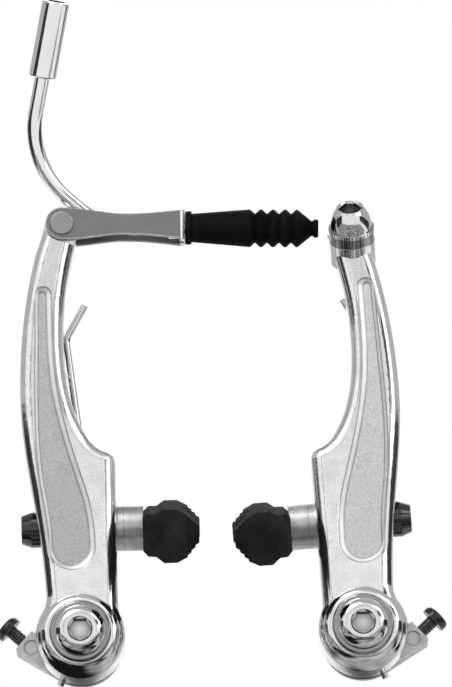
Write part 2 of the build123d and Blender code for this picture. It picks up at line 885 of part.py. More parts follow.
def make_rivet():
    with BuildPart() as rivet:
        with BuildSketch(link_plane):
            Circle(rivet_radius)
        extrude(amount=link_width / 2, both=True)
        for end, way in ((link_width / 2, 1), (-link_width / 2, -1)):
            with BuildSketch(link_plane.offset(end)):
                Circle(rivet_head_radius)
            extrude(amount=way * rivet_head_height)
        for end in (0, -1):
            fillet(rivet.faces().sort_by(Axis.Y)[end].edges(), rivet_head_height / 2)
    return rivet.part


guide_mouth = Vector(guide_mouth_place, guide_mouth_height)
guide_rise = Vector(guide_rise_place, guide_rise_height)
guide_top_way = (guide_mouth - guide_rise).normalized()
guide_top = guide_mouth - guide_top_way * housing_depth


def guide_path(reach):
    """Centre line of the guide, from its top in the ferrule to its nozzle, extended by reach."""
    with BuildLine(guide_plane) as path:
        FilletPolyline(
            (guide_top.X, guide_top.Y),
            (guide_rise_place, guide_rise_height),
            (guide_run_place, 0),
            (link_length + nozzle_reach + reach, 0),
            radius=guide_bend,
        )
    return path.line


def make_guide_tube():
    path = guide_path(0)
    with BuildPart() as tube:
        with BuildSketch(Plane(path @ 0, z_dir=path % 0)):
            Circle(guide_radius)
            Circle(guide_bore, mode=Mode.SUBTRACT)
        sweep(path=path)
        with BuildSketch(axis_plane.offset(link_length - link_sheet)):
            Circle(guide_collar_radius)
            Circle(guide_radius - press_gap, mode=Mode.SUBTRACT)
        extrude(amount=-guide_collar_length)
    return tube.part


def make_guide_liner():
    path = guide_path(liner_proud)
    with BuildPart() as liner:
        with BuildSketch(Plane(path @ 0, z_dir=path % 0)):
            Circle(liner_radius)
            Circle(liner_bore, mode=Mode.SUBTRACT)
        sweep(path=path)
    return liner.part


def make_guide_ferrule():
    way = guide_plane.from_local_coords(guide_top_way) - guide_plane.origin
    mouth = guide_plane.from_local_coords(guide_mouth)
    mouth_plane = Plane(mouth, x_dir=link_along, z_dir=way)
    with BuildPart() as ferrule:
        with BuildSketch(mouth_plane):
            Circle(ferrule_radius)
        extrude(amount=-ferrule_length)
        fillet(ferrule.edges().filter_by(GeomType.CIRCLE), ferrule_round)
        with BuildSketch(mouth_plane):
            Circle(housing_bore)
        extrude(amount=-housing_depth, mode=Mode.SUBTRACT)
        with BuildSketch(mouth_plane):
            Circle(guide_radius + ferrule_gap)
        extrude(amount=-ferrule_length, mode=Mode.SUBTRACT)
    return ferrule.part


def make_boot():
    """Rubber bellows from the link's end wall to the nose, hollow for the nozzle and the cable."""
    start = link_length + boot_gap
    sleeve_end = boot_collar_length + boot_sleeve_length
    outer = [
        (0, boot_collar_radius - boot_edge),
        (boot_edge, boot_collar_radius),
        (boot_collar_length - boot_edge, boot_collar_radius),
        (boot_collar_length, boot_sleeve_radius),
        (sleeve_end, boot_sleeve_end_radius),
    ]
    inner = []
    along = sleeve_end
    for fold in range(bellows_count):
        outer.append((along + bellows_pitch / 2, bellows_valley))
        outer.append((along + bellows_pitch, boot_sleeve_end_radius))
        inner.append((along, boot_sleeve_end_radius - boot_wall))
        inner.append((along + bellows_pitch / 2, bellows_valley - boot_wall))
        along += bellows_pitch
    nose = along + boot_nose_length
    outer += [
        (nose - boot_edge, boot_nose_radius),
        (nose, boot_nose_radius),
        (nose + boot_tip_length - boot_edge, boot_tip_radius),
        (nose + boot_tip_length, boot_tip_radius - boot_edge),
    ]
    grip = guide_radius + boot_grip_gap
    grip_end = nozzle_reach + liner_proud
    nose_bore = boot_nose_radius / 2
    inner = [(0, grip), (grip_end, grip), (grip_end + boot_wall, bellows_valley - boot_wall)] + inner
    inner += [
        (along, boot_sleeve_end_radius - boot_wall),
        (nose - boot_edge, nose_bore),
        (nose + boot_tip_length, nose_bore),
    ]
    with BuildPart() as boot:
        with BuildSketch(link_plane):
            with BuildLine():
                Polyline([(start + s, r) for s, r in outer + list(reversed(inner))], close=True)
            make_face()
        revolve(axis=Axis(link_pivot, link_along))
    return boot.part


def make_anchor_washer():
    with BuildPart() as washer:
        with BuildSketch(anchor_plane):
            Circle(anchor_washer_radius)
            Circle(anchor_shank_radius + stud_clearance, mode=Mode.SUBTRACT)
        extrude(amount=anchor_washer_thickness)
    return washer.part


def make_anchor_bolt():
    seat = anchor_washer_thickness
    dome = seat + anchor_flange_thickness
    top = dome + anchor_dome_height
    turn_plane = Plane(anchor_plane.origin, x_dir=(1, 0, 0), z_dir=anchor_plane.y_dir * -1)
    with BuildPart() as bolt:
        with BuildSketch(turn_plane):
            with BuildLine():
                Polyline(
                    (anchor_dome_flat, top),
                    (0, top),
                    (0, -anchor_shank_reach),
                    (anchor_shank_radius, -anchor_shank_reach),
                    (anchor_shank_radius, seat),
                    (anchor_washer_radius, seat),
                    (anchor_washer_radius, dome),
                    (anchor_dome_radius, dome),
                )
                TangentArc((anchor_dome_radius, dome), (anchor_dome_flat, top), tangent=(0, 1))
            make_face()
        revolve(axis=Axis(anchor_plane.origin, anchor_axis))
        with BuildSketch(anchor_plane.offset(top)):
            RegularPolygon(hex_radius, 6)
        extrude(amount=-anchor_socket_depth, mode=Mode.SUBTRACT)
        with BuildSketch(anchor_plane.offset(top)):
            Circle(hex_radius + socket_bevel / 2)
        extrude(amount=-socket_bevel, taper=45, mode=Mode.SUBTRACT)
    return bolt.part


for side, head, lean in (("left", "tongue", 0.0), ("right", "anchor", right_lean)):
    outer_seat = web_outer
    inner_seat = seat_face
    on_frame = {
        "bush": make_bush(),
        "pivot_washer": make_pivot_washer(),
        "pivot_bolt": make_pivot_bolt(),
        "spring": make_spring(),
        "spring_plate": make_spring_plate(),
        "tension_screw": make_tension_screw(),
    }
    on_arm = {
        "arm": make_arm(head, lean),
        "spring_peg": make_spring_peg(lean),
        "pad": make_pad(),
        "pad_stud": make_stud(),
        "inner_cup_washer": make_cup_washer(inner_seat, 1),
        "inner_dome_washer": make_dome_washer(inner_seat, 1, inner_dome_length),
        "outer_cup_washer": make_cup_washer(outer_seat, -1),
        "outer_dome_washer": make_dome_washer(outer_seat, -1, outer_dome_length),
        "pad_nut": make_pad_nut(),
    }
    for name, part in on_frame.items():
        keep(place(part, side), f"{side}_{name}")
    for name, part in on_arm.items():
        keep(place(part, side, lean), f"{side}_{name}")

keep(make_link(), "link")
keep(make_rivet(), "link_rivet")
keep(make_guide_tube(), "guide_tube")
keep(make_guide_liner(), "guide_liner")
keep(make_guide_ferrule(), "guide_ferrule")
keep(make_boot(), "boot")
keep(place(make_anchor_washer(), "right", right_lean), "anchor_washer")
keep(place(make_anchor_bolt(), "right", right_lean), "anchor_bolt")
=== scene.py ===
import json
from math import cos, pi, radians, sin

import bmesh
import bpy
from bpy.props import FloatProperty, FloatVectorProperty, IntProperty, PointerProperty
from bpy.types import Operator, Panel, PropertyGroup
from mathutils import Matrix, Vector


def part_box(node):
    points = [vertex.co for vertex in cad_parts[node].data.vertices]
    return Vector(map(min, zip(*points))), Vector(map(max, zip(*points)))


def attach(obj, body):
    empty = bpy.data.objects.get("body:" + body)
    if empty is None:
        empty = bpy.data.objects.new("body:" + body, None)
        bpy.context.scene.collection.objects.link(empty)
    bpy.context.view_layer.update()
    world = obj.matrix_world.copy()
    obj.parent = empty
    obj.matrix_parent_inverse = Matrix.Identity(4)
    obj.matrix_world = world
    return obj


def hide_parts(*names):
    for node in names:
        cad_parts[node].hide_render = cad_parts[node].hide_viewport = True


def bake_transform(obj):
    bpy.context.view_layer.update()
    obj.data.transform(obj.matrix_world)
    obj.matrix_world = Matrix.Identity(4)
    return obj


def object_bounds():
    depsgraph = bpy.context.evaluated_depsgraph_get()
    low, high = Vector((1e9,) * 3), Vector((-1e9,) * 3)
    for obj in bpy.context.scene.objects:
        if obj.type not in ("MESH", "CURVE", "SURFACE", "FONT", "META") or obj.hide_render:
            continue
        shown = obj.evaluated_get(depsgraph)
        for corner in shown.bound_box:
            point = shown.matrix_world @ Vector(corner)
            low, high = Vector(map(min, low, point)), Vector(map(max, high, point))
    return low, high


bl_info = {
    "name": "Linear-pull brake dresser",
    "version": (1, 0, 0),
    "blender": (4, 5, 0),
    "location": "View3D > Sidebar > Brake",
    "description": "Gives a linear-pull bicycle brake its finishes, springs, boot and fine hardware",
    "category": "Object",
}

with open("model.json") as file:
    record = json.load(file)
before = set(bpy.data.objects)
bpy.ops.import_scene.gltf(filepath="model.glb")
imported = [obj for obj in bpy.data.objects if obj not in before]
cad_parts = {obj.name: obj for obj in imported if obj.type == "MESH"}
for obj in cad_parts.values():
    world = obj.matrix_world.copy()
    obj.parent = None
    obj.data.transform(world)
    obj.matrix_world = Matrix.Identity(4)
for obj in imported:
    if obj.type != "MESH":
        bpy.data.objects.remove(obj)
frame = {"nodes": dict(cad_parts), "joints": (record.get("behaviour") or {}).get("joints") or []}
CAD_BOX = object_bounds()
NODES = frame["nodes"]
FINISHES = {}
MM = 0.001
SIDES = ("left", "right")

# The arms as the solids have them. A pocket level is a height over the pivot, a middle and a half width.
RIGHT_LEAN = radians(3.0)
FOOT_FRONT = 10.5 * MM
FRONT_SLOPE = 3.5 / 102.0
POCKET_DEPTH = 0.85 * MM
POCKET_LEVELS = (
    (21.2 * MM, -1.5 * MM, 5.75 * MM),
    (38.0 * MM, -3.85 * MM, 5.3 * MM),
    (60.0 * MM, -7.05 * MM, 2.95 * MM),
    (84.2 * MM, -7.3 * MM, 2.2 * MM),
)
POCKET_REACH = 10 * MM

# Where the pocket's looks change: by distance past its outline, then by depth under the arm's front; the lip
# and root spans place painted shade lines on the pocket wall.
POCKET_RIM = (0.35 * MM, 0.6 * MM)
POCKET_BACK = (POCKET_DEPTH + 0.1 * MM, POCKET_DEPTH + 0.3 * MM)
POCKET_FLOOR = (POCKET_DEPTH - 0.09 * MM, POCKET_DEPTH - 0.02 * MM)
POCKET_WALL = (0.01 * MM, 0.03 * MM)
POCKET_LIP_SHADE = (0.12 * MM, 0.26 * MM)
POCKET_ROOT_SHADE = (POCKET_DEPTH - 0.3 * MM, POCKET_DEPTH - 0.14 * MM)
# Painted light: the right pocket's floor is made lighter, as lit from the right.
POCKET_SIDE_LIGHT = {"left": 1.0, "right": 1.3}
# Strength and tone of the painted shade lines along the pocket wall.
SHADE_LINE_WEIGHT = 0.62
SHADE_LINE_TONE = 0.25

# Looks: spans of a pattern, shades of a colour, and the reach of the painted shade in creases and of the
# worn edges with their painted sheen.
RISING = (0.0, 1.0)
FALLING = (1.0, 0.0)
MOST_NOISE = (0.3, 0.7)
CLOUD_SPAN = (0.35, 0.65)
SPARKLE_SPAN = (0.38, 0.6)
SPECK_SPAN = (0.38, 0.62)
WORN_SPAN = (0.62, 0.76)
BLOOM_SPAN = (0.4, 0.75)
NOISE_ROUGHNESS = 0.55
OPENNESS_SAMPLES = 8
# Painted shade: the colour is darkened where a point of the piece is closed in.
CREASE_SHADE_SPAN = (0.35, 0.9)
CREASE_SHADE_GREY = (0.02, 0.02, 0.021)
RUBBER_CREASE_SHADE = (0.0004, 0.0004, 0.0004)
# Bright outer edges: partly wear, partly a painted sheen where light catches them.
EDGE_SPAN = (0.55, 0.9)
EDGE_BREAKUP_SPAN = (0.3, 0.6)
EDGE_BREAKUP_SHARE = (0.4, 1.0)
WORN_AND_SHEEN_SHADE = 2.6
WORN_AND_SHEEN_PAINT = (0.16, 0.16, 0.165)
# Painted highlight along the link's bent end.
LINK_HIGHLIGHT_END = 1.2 * MM
LINK_HIGHLIGHT_EDGE = 0.2 * MM
END_HIGHLIGHT_SHADE = 3.9

# Fine pieces: the screws' thread, the pads' edge, the boot and the anchor's knurl.
JOIN_GAP = 0.002 * MM
FLAT_ANGLE = radians(1.0)
SCREW_TIP = 0.01 * MM
THREAD_START = 11.6 * MM
THREAD_TURNS = 4.9
THREAD_STEPS = 28
THREAD_SIDES = 6
PAD_EDGE_STEPS = 3
PAD_EDGE_ANGLE = radians(24)
BOOT_START = 30.1 * MM
BOOT_STEPS = 72
BOOT_JOIN_GAP = 0.003 * MM
ANCHOR_TILT = radians(41.0)
KNURL_RISE = 1.75 * MM
KNURL_RADIUS = 5.45 * MM
KNURL_WIDTH = 0.36 * MM
KNURL_LENGTH = 0.8 * MM

# Studio: camera, floor, cards and lamps.
CAMERA_TARGET = Vector((2.75, 0, 72.4)) * MM
SENSOR_HEIGHT = 24
CAMERA_REACH = 50
FLOOR_SIZE = 6.0
FLOOR_GAP = 0.5 * MM
FLOOR_FADE = (0.1, 0.34)
FLOOR_GREYS = ((0.8, 0.8, 0.8), (0.84, 0.84, 0.84))
LOW_CARD_LEVEL = CAD_BOX[0][2] - 0.25 * MM
TO_RIGHT, TO_LEFT, TO_BACK = (1, 0, 0), (-1, 0, 0), (0, 1, 0)
UPWARDS, DOWNWARDS = (0, 0, 1), (0, 0, -1)
# Name, darkest and lightest grey, and for hard clouds their scale and edge.
CARD_TONES = (
    ("dark_card", 0.02, 0.05),
    ("cloudy_card", 0.01, 0.6, 52.0, 0.09),
    ("grey_card", 0.42, 0.62),
    ("strip_card", 0.15, 0.3),
    ("soft_card", 0.6, 0.88),
)
# Name, tone, centre, the way it faces, width and height.
CARDS = (
    ("left_card", "dark_card", (-0.9, -0.06, -0.04), TO_RIGHT, 1.1, 0.55),
    ("right_card", "dark_card", (0.9, -0.06, 0.08), TO_LEFT, 1.1, 0.31),
    ("high_left_card", "grey_card", (-0.9, 0.6, 0.7), TO_RIGHT, 1.9, 0.9),
    ("high_right_card", "grey_card", (0.9, 0.6, 0.7), TO_LEFT, 1.9, 0.9),
    ("far_left_card", "grey_card", (-0.9, 1.3, 0.0), TO_RIGHT, 1.6, 0.5),
    ("far_right_card", "grey_card", (0.9, 1.3, 0.0), TO_LEFT, 1.6, 0.5),
    ("tube_card", "dark_card", (0.6, -0.93, 0.45), (-0.55, 0.83, 0), 0.5, 0.28),
    ("top_card", "grey_card", (0.0, 0.0, 1.3), DOWNWARDS, 2.2, 2.0),
    ("low_card", "cloudy_card", (0.0, -0.1, LOW_CARD_LEVEL), UPWARDS, 0.6, 0.19),
    ("front_card", "soft_card", (0.0, -1.3, 0.56), TO_BACK, 0.5, 0.36),
    ("left_strip", "strip_card", (-0.45, -1.2, 0.38), TO_BACK, 0.1, 0.6),
    ("right_strip", "strip_card", (0.45, -1.2, 0.38), TO_BACK, 0.1, 0.6),
)
# Name, place, size and power.
LAMPS = (
    ("key_softbox", (-0.5, -0.9, 1.1), 0.8, 9.0),
    ("fill_softbox", (0.9, -0.8, 0.6), 0.9, 4.0),
    ("back_softbox", (0.1, 0.9, 0.9), 0.8, 4.0),
)
LAMP_AIM = Vector((0, 0, 60 * MM))


class FinishSettings(PropertyGroup):
    """Colours and gloss of the brake's finishes."""

    alloy: FloatVectorProperty(
        name="Polished alloy", description="Colour of the polished arms", subtype="COLOR",
        default=(0.86, 0.865, 0.87), min=0, max=1,
    )
    alloy_gloss: FloatProperty(
        name="Alloy roughness", description="Roughness of the polished arms", subtype="FACTOR",
        default=0.14, min=0.02, max=1,
    )
    pocket: FloatVectorProperty(
        name="Pocket floor", description="Colour of the blasted floor of the arm's pocket", subtype="COLOR",
        default=(0.43, 0.43, 0.435), min=0, max=1,
    )
    pocket_gloss: FloatProperty(
        name="Pocket roughness", description="Roughness of the blasted pocket floor", subtype="FACTOR",
        default=0.5, min=0.02, max=1,
    )
    link: FloatVectorProperty(
        name="Link sheet", description="Colour of the folded link", subtype="COLOR",
        default=(0.2, 0.2, 0.204), min=0, max=1,
    )
    rubber: FloatVectorProperty(
        name="Rubber", description="Colour of the pads and the boot", subtype="COLOR",
        default=(0.0045, 0.0045, 0.0048), min=0, max=1,
    )


class DetailSettings(PropertyGroup):
    """Sizes of the fine pieces that are added to the solids."""

    thread_pitch: FloatProperty(
        name="Thread pitch", description="Pitch of the tension screw's thread", unit="LENGTH",
        default=0.7 * MM, min=0.2 * MM, max=2 * MM,
    )
    thread_ridge: FloatProperty(
        name="Thread ridge", description="Height of the thread over the screw's core", unit="LENGTH",
        default=0.16 * MM, min=0.05 * MM, max=0.5 * MM,
    )
    knurl_count: IntProperty(
        name="Knurl ridges", description="Ridges round the anchor bolt's flange", default=44, min=8, max=120,
    )
    knurl_height: FloatProperty(
        name="Knurl height", description="How far a ridge stands out of the flange", unit="LENGTH",
        default=0.14 * MM, min=0.02 * MM, max=0.5 * MM,
    )
    pad_edge: FloatProperty(
        name="Pad edge", description="Moulded radius along the pad's edges", unit="LENGTH",
        default=0.7 * MM, min=0.05 * MM, max=1 * MM,
    )
    fold_points: IntProperty(
        name="Fold points", description="Profile points in each fold of the boot", default=12, min=4, max=40,
    )


class StageSettings(PropertyGroup):
    """Camera and light of the picture."""

    camera_distance: FloatProperty(
        name="Camera distance", description="From the camera to the brake", unit="LENGTH",
        default=2.5, min=0.5, max=10,
    )
    camera_elevation: FloatProperty(
        name="Camera elevation", description="Height angle of the view", subtype="ANGLE",
        default=radians(-11),
    )
    camera_roll: FloatProperty(
        name="Camera roll", description="Turn of the picture", subtype="ANGLE", default=radians(1.43),
    )
    focal_length: FloatProperty(
        name="Focal length", description="Lens on a frame 24 mm high", default=357.2, min=10, max=1000,
    )
    world_light: FloatProperty(
        name="Room light", description="Strength of the light from all round", default=0.62, min=0, max=2,
    )


def empty_material(name):
    """New material with an empty node tree; returns both."""
    material = bpy.data.materials.new(name)
    material.use_nodes = True
    material.node_tree.nodes.clear()
    return material, material.node_tree


def start_finish(name):
    """New material with an output and one surface shader; returns the material, its tree and the shader."""
    material, tree = empty_material(name)
    output = tree.nodes.new("ShaderNodeOutputMaterial")
    shader = tree.nodes.new("ShaderNodeBsdfPrincipled")
    tree.links.new(shader.outputs["BSDF"], output.inputs["Surface"])
    return material, tree, shader


def put(tree, kind, inputs=None, **settings):
    """Add a node; inputs gives a value, or an output to wire, for each socket by name or number."""
    node = tree.nodes.new(kind)
    for key, value in settings.items():
        setattr(node, key, value)
    for key, value in (inputs or {}).items():
        if isinstance(value, bpy.types.NodeSocket):
            tree.links.new(value, node.inputs[key])
        else:
            node.inputs[key].default_value = value
    return node


def place_of(tree):
    """Object coordinates of the piece."""
    return put(tree, "ShaderNodeTexCoord").outputs["Object"]


def noise(tree, place, scale, detail=3.0, stretch=None):
    """Noise on the piece's own coordinates, drawn out along an axis where stretch is given."""
    if stretch:
        place = put(tree, "ShaderNodeMapping", {"Vector": place, "Scale": stretch}).outputs["Vector"]
    inputs = {"Vector": place, "Scale": scale, "Detail": detail, "Roughness": NOISE_ROUGHNESS}
    return put(tree, "ShaderNodeTexNoise", inputs).outputs["Fac"]


def spread(tree, value, span, onto=RISING, smooth=False):
    """Map a value from one span onto another."""
    kind = "SMOOTHSTEP" if smooth else "LINEAR"
    inputs = {"Value": value}
    inputs.update(zip(("From Min", "From Max", "To Min", "To Max"), (*span, *onto)))
    return put(tree, "ShaderNodeMapRange", inputs, interpolation_type=kind, clamp=True).outputs["Result"]


def blend_colours(tree, share, first, second):
    """Colour between two colours or colour outputs."""
    node = put(tree, "ShaderNodeMix", data_type="RGBA")
    sockets = [s for s in node.inputs if s.enabled]
    for socket, value in zip(sockets, (share, first, second)):
        if isinstance(value, bpy.types.NodeSocket):
            tree.links.new(value, socket)
        else:
            socket.default_value = value if isinstance(value, float) else (*value, 1.0)
    return [s for s in node.outputs if s.enabled][0]


def sums(tree, operation, first, second):
    """One step of arithmetic."""
    return put(tree, "ShaderNodeMath", {0: first, 1: second}, operation=operation).outputs[0]


def weighed(tree, *terms):
    """Sum of outputs, each times its weight."""
    products = [sums(tree, "MULTIPLY", value, weight) for value, weight in terms]
    total = products[0]
    for product in products[1:]:
        total = sums(tree, "ADD", total, product)
    return total


def bump(tree, shader, height, strength, distance):
    """Raise the surface by a height."""
    node = put(tree, "ShaderNodeBump", {"Height": height, "Strength": strength, "Distance": distance})
    tree.links.new(node.outputs["Normal"], shader.inputs["Normal"])


def openness(tree, reach, **settings):
    """How open the surroundings of a point of the piece are, up to a reach."""
    settings.update(samples=OPENNESS_SAMPLES, only_local=True)
    return put(tree, "ShaderNodeAmbientOcclusion", {"Distance": reach}, **settings).outputs["AO"]


def painted_crease_shade(tree, colour, reach, dark, into=CREASE_SHADE_GREY):
    """Colour with painted shade, darker in the corners and recesses of its own piece."""
    return blend_colours(tree, spread(tree, openness(tree, reach), CREASE_SHADE_SPAN, (dark, 0.0)), colour, into)


def seen_rays(tree):
    """Share of the rays that see the background: from the camera, off metal or through glass."""
    path = put(tree, "ShaderNodeLightPath").outputs
    seen = sums(tree, "ADD", path["Is Camera Ray"], path["Is Transmission Ray"])
    return sums(tree, "MAXIMUM", seen, path["Is Glossy Ray"])


def worn_and_sheen_edges(tree, colour, reach, bare_and_sheen, most):
    """Colour that turns to a brighter one along the outer edges of its piece: partly worn bare, partly a
    painted sheen where light catches the edges.
    """
    edge = spread(tree, openness(tree, reach, inside=True), EDGE_SPAN, (most, 0.0))
    edge_breakup = spread(tree, noise(tree, place_of(tree), scale=900.0), EDGE_BREAKUP_SPAN, EDGE_BREAKUP_SHARE)
    return blend_colours(tree, sums(tree, "MULTIPLY", edge, edge_breakup), colour, bare_and_sheen)


def shade(colour, factor):
    """A darker or lighter version of a colour."""
    return tuple(min(1.0, c * factor) for c in colour)


def mottled(tree, pattern, span, colour, dark=1.0, light=1.0):
    """Colour that goes with a pattern from one shade of itself to another."""
    return blend_colours(tree, spread(tree, pattern, span), shade(colour, dark), shade(colour, light))


def uneven(tree, pattern, level, least, most):
    """Level that goes with a pattern between two shares of itself."""
    return spread(tree, pattern, MOST_NOISE, (level * least, level * most))


def curve_over(tree, value, points, low, high):
    """Smooth curve through points of a value from 0 to 1, whose heights run from low to high."""
    node = put(tree, "ShaderNodeFloatCurve", {"Factor": 1.0, "Value": value})
    line = node.mapping.curves[0]
    for at, height in points[1:-1]:
        line.points.new(at, (height - low) / (high - low))
    for point, (at, height) in ((line.points[0], points[0]), (line.points[-1], points[-1])):
        point.location = (at, (height - low) / (high - low))
    node.mapping.update()
    return spread(tree, node.outputs["Value"], RISING, (low, high))


def arm_place(tree, side):
    """Coordinates of an arm: inwards, back and up from its pivot."""
    pivot = next(abs(j["pos_m"][0]) for j in frame["joints"] if j["name"] == f"{side}_arm_turn")
    lean = RIGHT_LEAN if side == "right" else 0.0
    return put(tree, "ShaderNodeMapping", {
        "Vector": place_of(tree), "Location": (pivot * cos(lean), 0, pivot * sin(lean)),
        "Rotation": (0, -lean, 0), "Scale": (-1 if side == "right" else 1, 1, 1),
    }).outputs["Vector"]


def in_pocket(tree, inwards, up):
    """Share of a point of the arm's front that lies within the pocket's rim."""
    levels, middles, halves = zip(*POCKET_LEVELS)
    foot, top = levels[0], levels[-1]
    share = spread(tree, up, (foot, top))
    steps = [(level - foot) / (top - foot) for level in levels]
    middle = curve_over(tree, share, list(zip(steps, middles)), -POCKET_REACH, 0.0)
    half = curve_over(tree, share, list(zip(steps, halves)), 0.0, POCKET_REACH)
    across = sums(tree, "SUBTRACT", inwards, middle)
    past = sums(tree, "MAXIMUM", sums(tree, "SUBTRACT", up, top), sums(tree, "SUBTRACT", foot, up))
    past = sums(tree, "MAXIMUM", past, 0.0)
    squares = sums(tree, "ADD", sums(tree, "MULTIPLY", across, across), sums(tree, "MULTIPLY", past, past))
    outside = sums(tree, "SUBTRACT", sums(tree, "SQRT", squares, 0.0), half)
    return spread(tree, outside, POCKET_RIM, FALLING)


def buffed_alloy(settings, side):
    """Forged arm: buffed all over, with a blasted floor and a satin wall in its pocket, painted shade lines
    at the wall's lip and root, painted shade in its recesses, and a right pocket floor painted lighter as
    lit from the right.
    """
    material, tree, shader = start_finish(f"{side}_buffed_alloy")
    place = arm_place(tree, side)
    part = put(tree, "ShaderNodeSeparateXYZ", {"Vector": place}).outputs
    slope = sums(tree, "MULTIPLY", part["Z"], FRONT_SLOPE)
    depth = sums(tree, "SUBTRACT", sums(tree, "ADD", part["Y"], FOOT_FRONT), slope)
    ahead = spread(tree, depth, POCKET_BACK, FALLING)
    inside = sums(tree, "MULTIPLY", in_pocket(tree, part["X"], part["Z"]), ahead)
    floor = sums(tree, "MULTIPLY", spread(tree, depth, POCKET_FLOOR), inside)
    wall = sums(tree, "MULTIPLY", spread(tree, depth, POCKET_WALL), inside)
    # Painted shade lines along the top and the foot of the pocket wall.
    lip_shade = spread(tree, depth, POCKET_LIP_SHADE, FALLING)
    root_shade = spread(tree, depth, POCKET_ROOT_SHADE)
    shade_lines = sums(tree, "MULTIPLY", wall, sums(tree, "MAXIMUM", lip_shade, root_shade))
    shade_lines = sums(tree, "MULTIPLY", shade_lines, spread(tree, floor, RISING, (SHADE_LINE_WEIGHT, 0.0)))

    grain = noise(tree, place, scale=2600.0, detail=2.0)
    mottle = noise(tree, place, scale=260.0, detail=4.0)
    buff = noise(tree, place, scale=700.0, stretch=(1.0, 1.0, 0.12))
    sparkle = weighed(tree, (mottle, 0.5), (grain, 0.5))
    rim = mottled(tree, sparkle, SPARKLE_SPAN, settings.alloy, dark=0.84)
    # The right pocket's floor painted lighter, as lit from the right.
    side_lit_sand = shade(settings.pocket, POCKET_SIDE_LIGHT[side])
    blasted = mottled(tree, grain, SPECK_SPAN, side_lit_sand, dark=0.86, light=1.12)
    tint = blend_colours(tree, floor, rim, blasted)
    # The painted shade lines darken the pocket wall's lip and root.
    tint = blend_colours(tree, shade_lines, tint, shade(settings.pocket, SHADE_LINE_TONE))
    # Painted shade in the arm's corners and recesses.
    tree.links.new(painted_crease_shade(tree, tint, reach=1.2 * MM, dark=0.75), shader.inputs["Base Color"])
    shine = uneven(tree, buff, settings.alloy_gloss, least=0.6, most=1.4)
    dull = sums(tree, "MULTIPLY", wall, settings.pocket_gloss - settings.alloy_gloss)
    tree.links.new(sums(tree, "ADD", shine, dull), shader.inputs["Roughness"])
    waves = weighed(tree, (buff, 0.5), (mottle, 0.9), (grain, 0.2))
    bump(tree, shader, waves, strength=0.24, distance=0.12 * MM)
    shader.inputs["Metallic"].default_value = 1.0
    return material


def metal(
    name, colour, rough, scale=900.0, stretch=None, relief=0.05, vary=0.12, reach=1.5 * MM,
    wear_and_sheen=0.0, highlight_from=None,
):
    """Metal with grain in its colour, gloss and surface, and painted shade in its recesses; it can have
    brighter edges, partly worn and partly a painted sheen, and a painted highlight at its end from a given
    point on.
    """
    material, tree, shader = start_finish(name)
    place = place_of(tree)
    grain = noise(tree, place, scale, detail=4.0, stretch=stretch)
    cloud = noise(tree, place, scale=180.0)
    tint = mottled(tree, cloud, CLOUD_SPAN, colour, dark=1 - vary, light=1 + vary / 2)
    # Painted shade in corners and recesses.
    tint = painted_crease_shade(tree, tint, reach, dark=0.8)
    if wear_and_sheen:
        # Outer edges brighter: partly worn bare, partly a painted sheen.
        tint = worn_and_sheen_edges(tree, tint, reach=0.5 * MM, bare_and_sheen=shade(colour, WORN_AND_SHEEN_SHADE), most=wear_and_sheen)
    # Painted highlight: the piece turns brighter from a given point along it.
    if highlight_from is not None:
        along = put(tree, "ShaderNodeSeparateXYZ", {0: place}).outputs["X"]
        bare_and_sheen = spread(tree, along, (highlight_from, highlight_from + LINK_HIGHLIGHT_EDGE))
        tint = blend_colours(tree, bare_and_sheen, tint, shade(colour, END_HIGHLIGHT_SHADE))
    tree.links.new(tint, shader.inputs["Base Color"])
    tree.links.new(uneven(tree, grain, rough, least=0.7, most=1.35), shader.inputs["Roughness"])
    bump(tree, shader, grain, strength=relief, distance=0.1 * MM)
    shader.inputs["Metallic"].default_value = 1.0
    return material


def dark_paint(name, colour, rough, coat, mirror=0.5):
    """Black coated hardware with a slight orange peel, worn spots, and edges worn bare with a painted sheen.
    """
    material, tree, shader = start_finish(name)
    place = place_of(tree)
    peel = noise(tree, place, scale=1400.0, detail=2.0)
    worn = noise(tree, place, scale=420.0, detail=5.0)
    tint = mottled(tree, worn, WORN_SPAN, colour, light=WORN_AND_SHEEN_SHADE)
    # Outer edges brighter: partly worn paint, partly a painted sheen.
    tint = worn_and_sheen_edges(tree, tint, reach=0.4 * MM, bare_and_sheen=WORN_AND_SHEEN_PAINT, most=0.5)
    tree.links.new(tint, shader.inputs["Base Color"])
    tree.links.new(uneven(tree, worn, rough, least=0.8, most=1.3), shader.inputs["Roughness"])
    bump(tree, shader, peel, strength=0.08, distance=0.1 * MM)
    shader.inputs["Specular IOR Level"].default_value = mirror
    shader.inputs["Coat Weight"].default_value = coat
    shader.inputs["Coat Roughness"].default_value = 0.1
    return material


def moulded_rubber(name, colour, rough, fold):
    """Black rubber with a fine mould texture and dusty speckle, with painted shade in folds of the given
    depth.
    """
    material, tree, shader = start_finish(name)
    place = place_of(tree)
    skin = noise(tree, place, scale=2200.0)
    bloom = noise(tree, place, scale=150.0, detail=5.0)
    tint = mottled(tree, bloom, BLOOM_SPAN, colour, dark=0.8, light=1.9)
    # Painted shade in the folds and recesses of the rubber.
    tint = painted_crease_shade(tree, tint, reach=fold, dark=0.9, into=RUBBER_CREASE_SHADE)
    tree.links.new(tint, shader.inputs["Base Color"])
    tree.links.new(uneven(tree, skin, rough, least=0.9, most=1.07), shader.inputs["Roughness"])
    bump(tree, shader, skin, strength=0.12, distance=0.15 * MM)
    shader.inputs["Specular IOR Level"].default_value = 0.03
    return material


